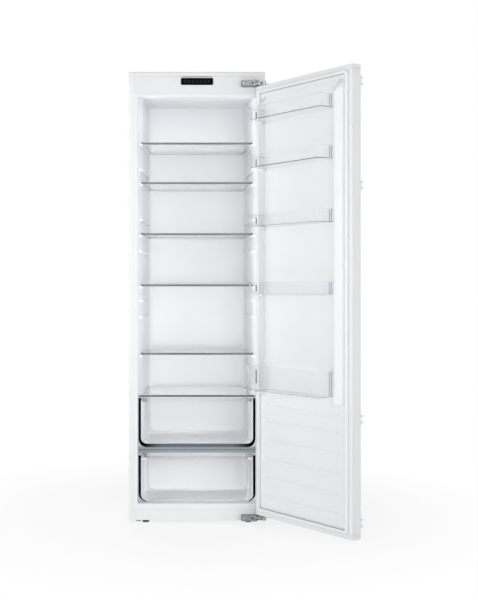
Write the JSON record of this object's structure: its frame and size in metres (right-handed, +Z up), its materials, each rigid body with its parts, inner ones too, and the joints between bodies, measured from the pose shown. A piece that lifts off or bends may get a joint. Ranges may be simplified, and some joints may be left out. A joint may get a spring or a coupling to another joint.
{
  "type": "built-in refrigerator",
  "caption": "Tall built-in larder refrigerator with glass shelves, crisper drawers, door bins and an insulated door on two-pivot link hinges.",
  "frame": {"origin": "centre of the cabinet base's underside, which the feet hold about 11 mm above the floor", "axes": "+Z up, +Y towards the back, +X to the right seen from the front, door open as pictured"},
  "size_m": [0.8593, 1.0111, 1.7857],
  "materials": {
    "white_enamel": "semi-gloss white powder coat",
    "white_plastic": "satin moulded white",
    "liner_plastic": "satin vacuum-formed white",
    "foam": "foamed in place, hidden",
    "clear_plastic": "clear moulded",
    "shelf_glass": "toughened clear",
    "shelf_trim": "grey moulded",
    "dark_seal": "black soft rubber",
    "gasket": "white soft rubber",
    "display": "gloss black",
    "light_lens": "frosted white",
    "hinge_steel": "satin grey",
    "zinc": "zinc plated",
    "compressor_black": "black enamel",
    "coil_black": "black enamel",
    "grey_plastic": "moulded grey"
  },
  "bodies": {
    "cabinet": {"outer_case": "white_enamel", "top_rail": "white_plastic", "control_fascia": "white_plastic", "display_panel": "display", "inner_liner": "liner_plastic", "insulation_foam": "foam", "interior_light": "light_lens", "back_panel": "white_enamel", "base_rail": "white_enamel", "base_plate": "zinc", "compressor": "compressor_black", "evaporation_tray": "grey_plastic", "mains_inlet": "grey_plastic", "condenser_coil": "coil_black", "crisper_cover_frame": "shelf_trim", "crisper_cover_glass": "shelf_glass", "drawer_divider": "white_plastic", "upper_crisper_seal": "dark_seal", "lower_crisper_seal": "dark_seal", "upper_hinge_housing": "hinge_steel", "lower_hinge_housing": "hinge_steel", "upper_cabinet_pin": "zinc", "lower_cabinet_pin": "zinc"},
    "hinge_links": {"upper_hinge_link": "hinge_steel", "lower_hinge_link": "hinge_steel"},
    "door": {"door_outer_panel": "white_enamel", "door_inner_liner": "liner_plastic", "door_foam": "foam", "door_gasket": "gasket", "door_top_cap": "white_plastic", "door_bottom_cap": "white_plastic", "door_bin_1": "clear_plastic", "door_bin_2": "clear_plastic", "door_bin_3": "clear_plastic", "door_bin_4": "clear_plastic", "door_bin_5": "clear_plastic", "door_bracket_1": "white_plastic", "door_bracket_2": "white_plastic", "door_bracket_3": "white_plastic", "door_bracket_4": "white_plastic", "upper_door_plate": "hinge_steel", "lower_door_plate": "hinge_steel", "upper_door_pin": "zinc", "lower_door_pin": "zinc"},
    "upper_drawer": {"upper_crisper_drawer": "clear_plastic"},
    "lower_drawer": {"lower_crisper_drawer": "clear_plastic"},
    "shelf_1": {"shelf_1_frame": "shelf_trim", "shelf_1_glass": "shelf_glass"},
    "shelf_2": {"shelf_2_frame": "shelf_trim", "shelf_2_glass": "shelf_glass"},
    "shelf_3": {"shelf_3_frame": "shelf_trim", "shelf_3_glass": "shelf_glass"},
    "shelf_4": {"shelf_4_frame": "shelf_trim", "shelf_4_glass": "shelf_glass"},
    "shelf_5": {"shelf_5_frame": "shelf_trim", "shelf_5_glass": "shelf_glass"},
    "left_foot": {"front_foot_left": "grey_plastic"},
    "right_foot": {"front_foot_right": "grey_plastic"},
    "left_roller": {"rear_roller_left": "grey_plastic"},
    "right_roller": {"rear_roller_right": "grey_plastic"}
  },
  "joints": [
    {"name": "link_swing", "type": "hinge", "parent": "cabinet", "child": "hinge_links", "pos_m": [0.22623, -0.29501, 0.869], "axis": [0, 0, 1], "range_deg": [-41.87, 0]},
    {"name": "door_swing", "type": "hinge", "parent": "hinge_links", "child": "door", "pos_m": [0.26492, -0.28555, 0.869], "axis": [0, 0, 1], "range_deg": [-83.73, 0]},
    {"name": "upper_drawer_slide", "type": "slide", "parent": "cabinet", "child": "upper_drawer", "axis": [0, -1, 0], "range_m": [0, 0.25]},
    {"name": "lower_drawer_slide", "type": "slide", "parent": "cabinet", "child": "lower_drawer", "axis": [0, -1, 0], "range_m": [0, 0.18]},
    {"name": "shelf_1_slide", "type": "slide", "parent": "cabinet", "child": "shelf_1", "axis": [0, -1, 0], "range_m": [0, 0.12]},
    {"name": "shelf_2_slide", "type": "slide", "parent": "cabinet", "child": "shelf_2", "axis": [0, -1, 0], "range_m": [0, 0.12]},
    {"name": "shelf_3_slide", "type": "slide", "parent": "cabinet", "child": "shelf_3", "axis": [0, -1, 0], "range_m": [0, 0.12]},
    {"name": "shelf_4_slide", "type": "slide", "parent": "cabinet", "child": "shelf_4", "axis": [0, -1, 0], "range_m": [0, 0.12]},
    {"name": "shelf_5_slide", "type": "slide", "parent": "cabinet", "child": "shelf_5", "axis": [0, -1, 0], "range_m": [0, 0.12]},
    {"name": "left_foot_turn", "type": "hinge", "parent": "cabinet", "child": "left_foot", "pos_m": [-0.204, -0.248, 0], "axis": [0, 0, 1], "continuous": true},
    {"name": "right_foot_turn", "type": "hinge", "parent": "cabinet", "child": "right_foot", "pos_m": [0.204, -0.248, 0], "axis": [0, 0, 1], "continuous": true},
    {"name": "left_roller_spin", "type": "hinge", "parent": "cabinet", "child": "left_roller", "pos_m": [-0.215, 0.2, 0.0038], "axis": [1, 0, 0], "continuous": true},
    {"name": "right_roller_spin", "type": "hinge", "parent": "cabinet", "child": "right_roller", "pos_m": [0.215, 0.2, 0.0038], "axis": [1, 0, 0], "continuous": true}
  ],
  "couplings": [
    {"joint": "link_swing", "follows": "door_swing", "ratio": 0.5}
  ]
}
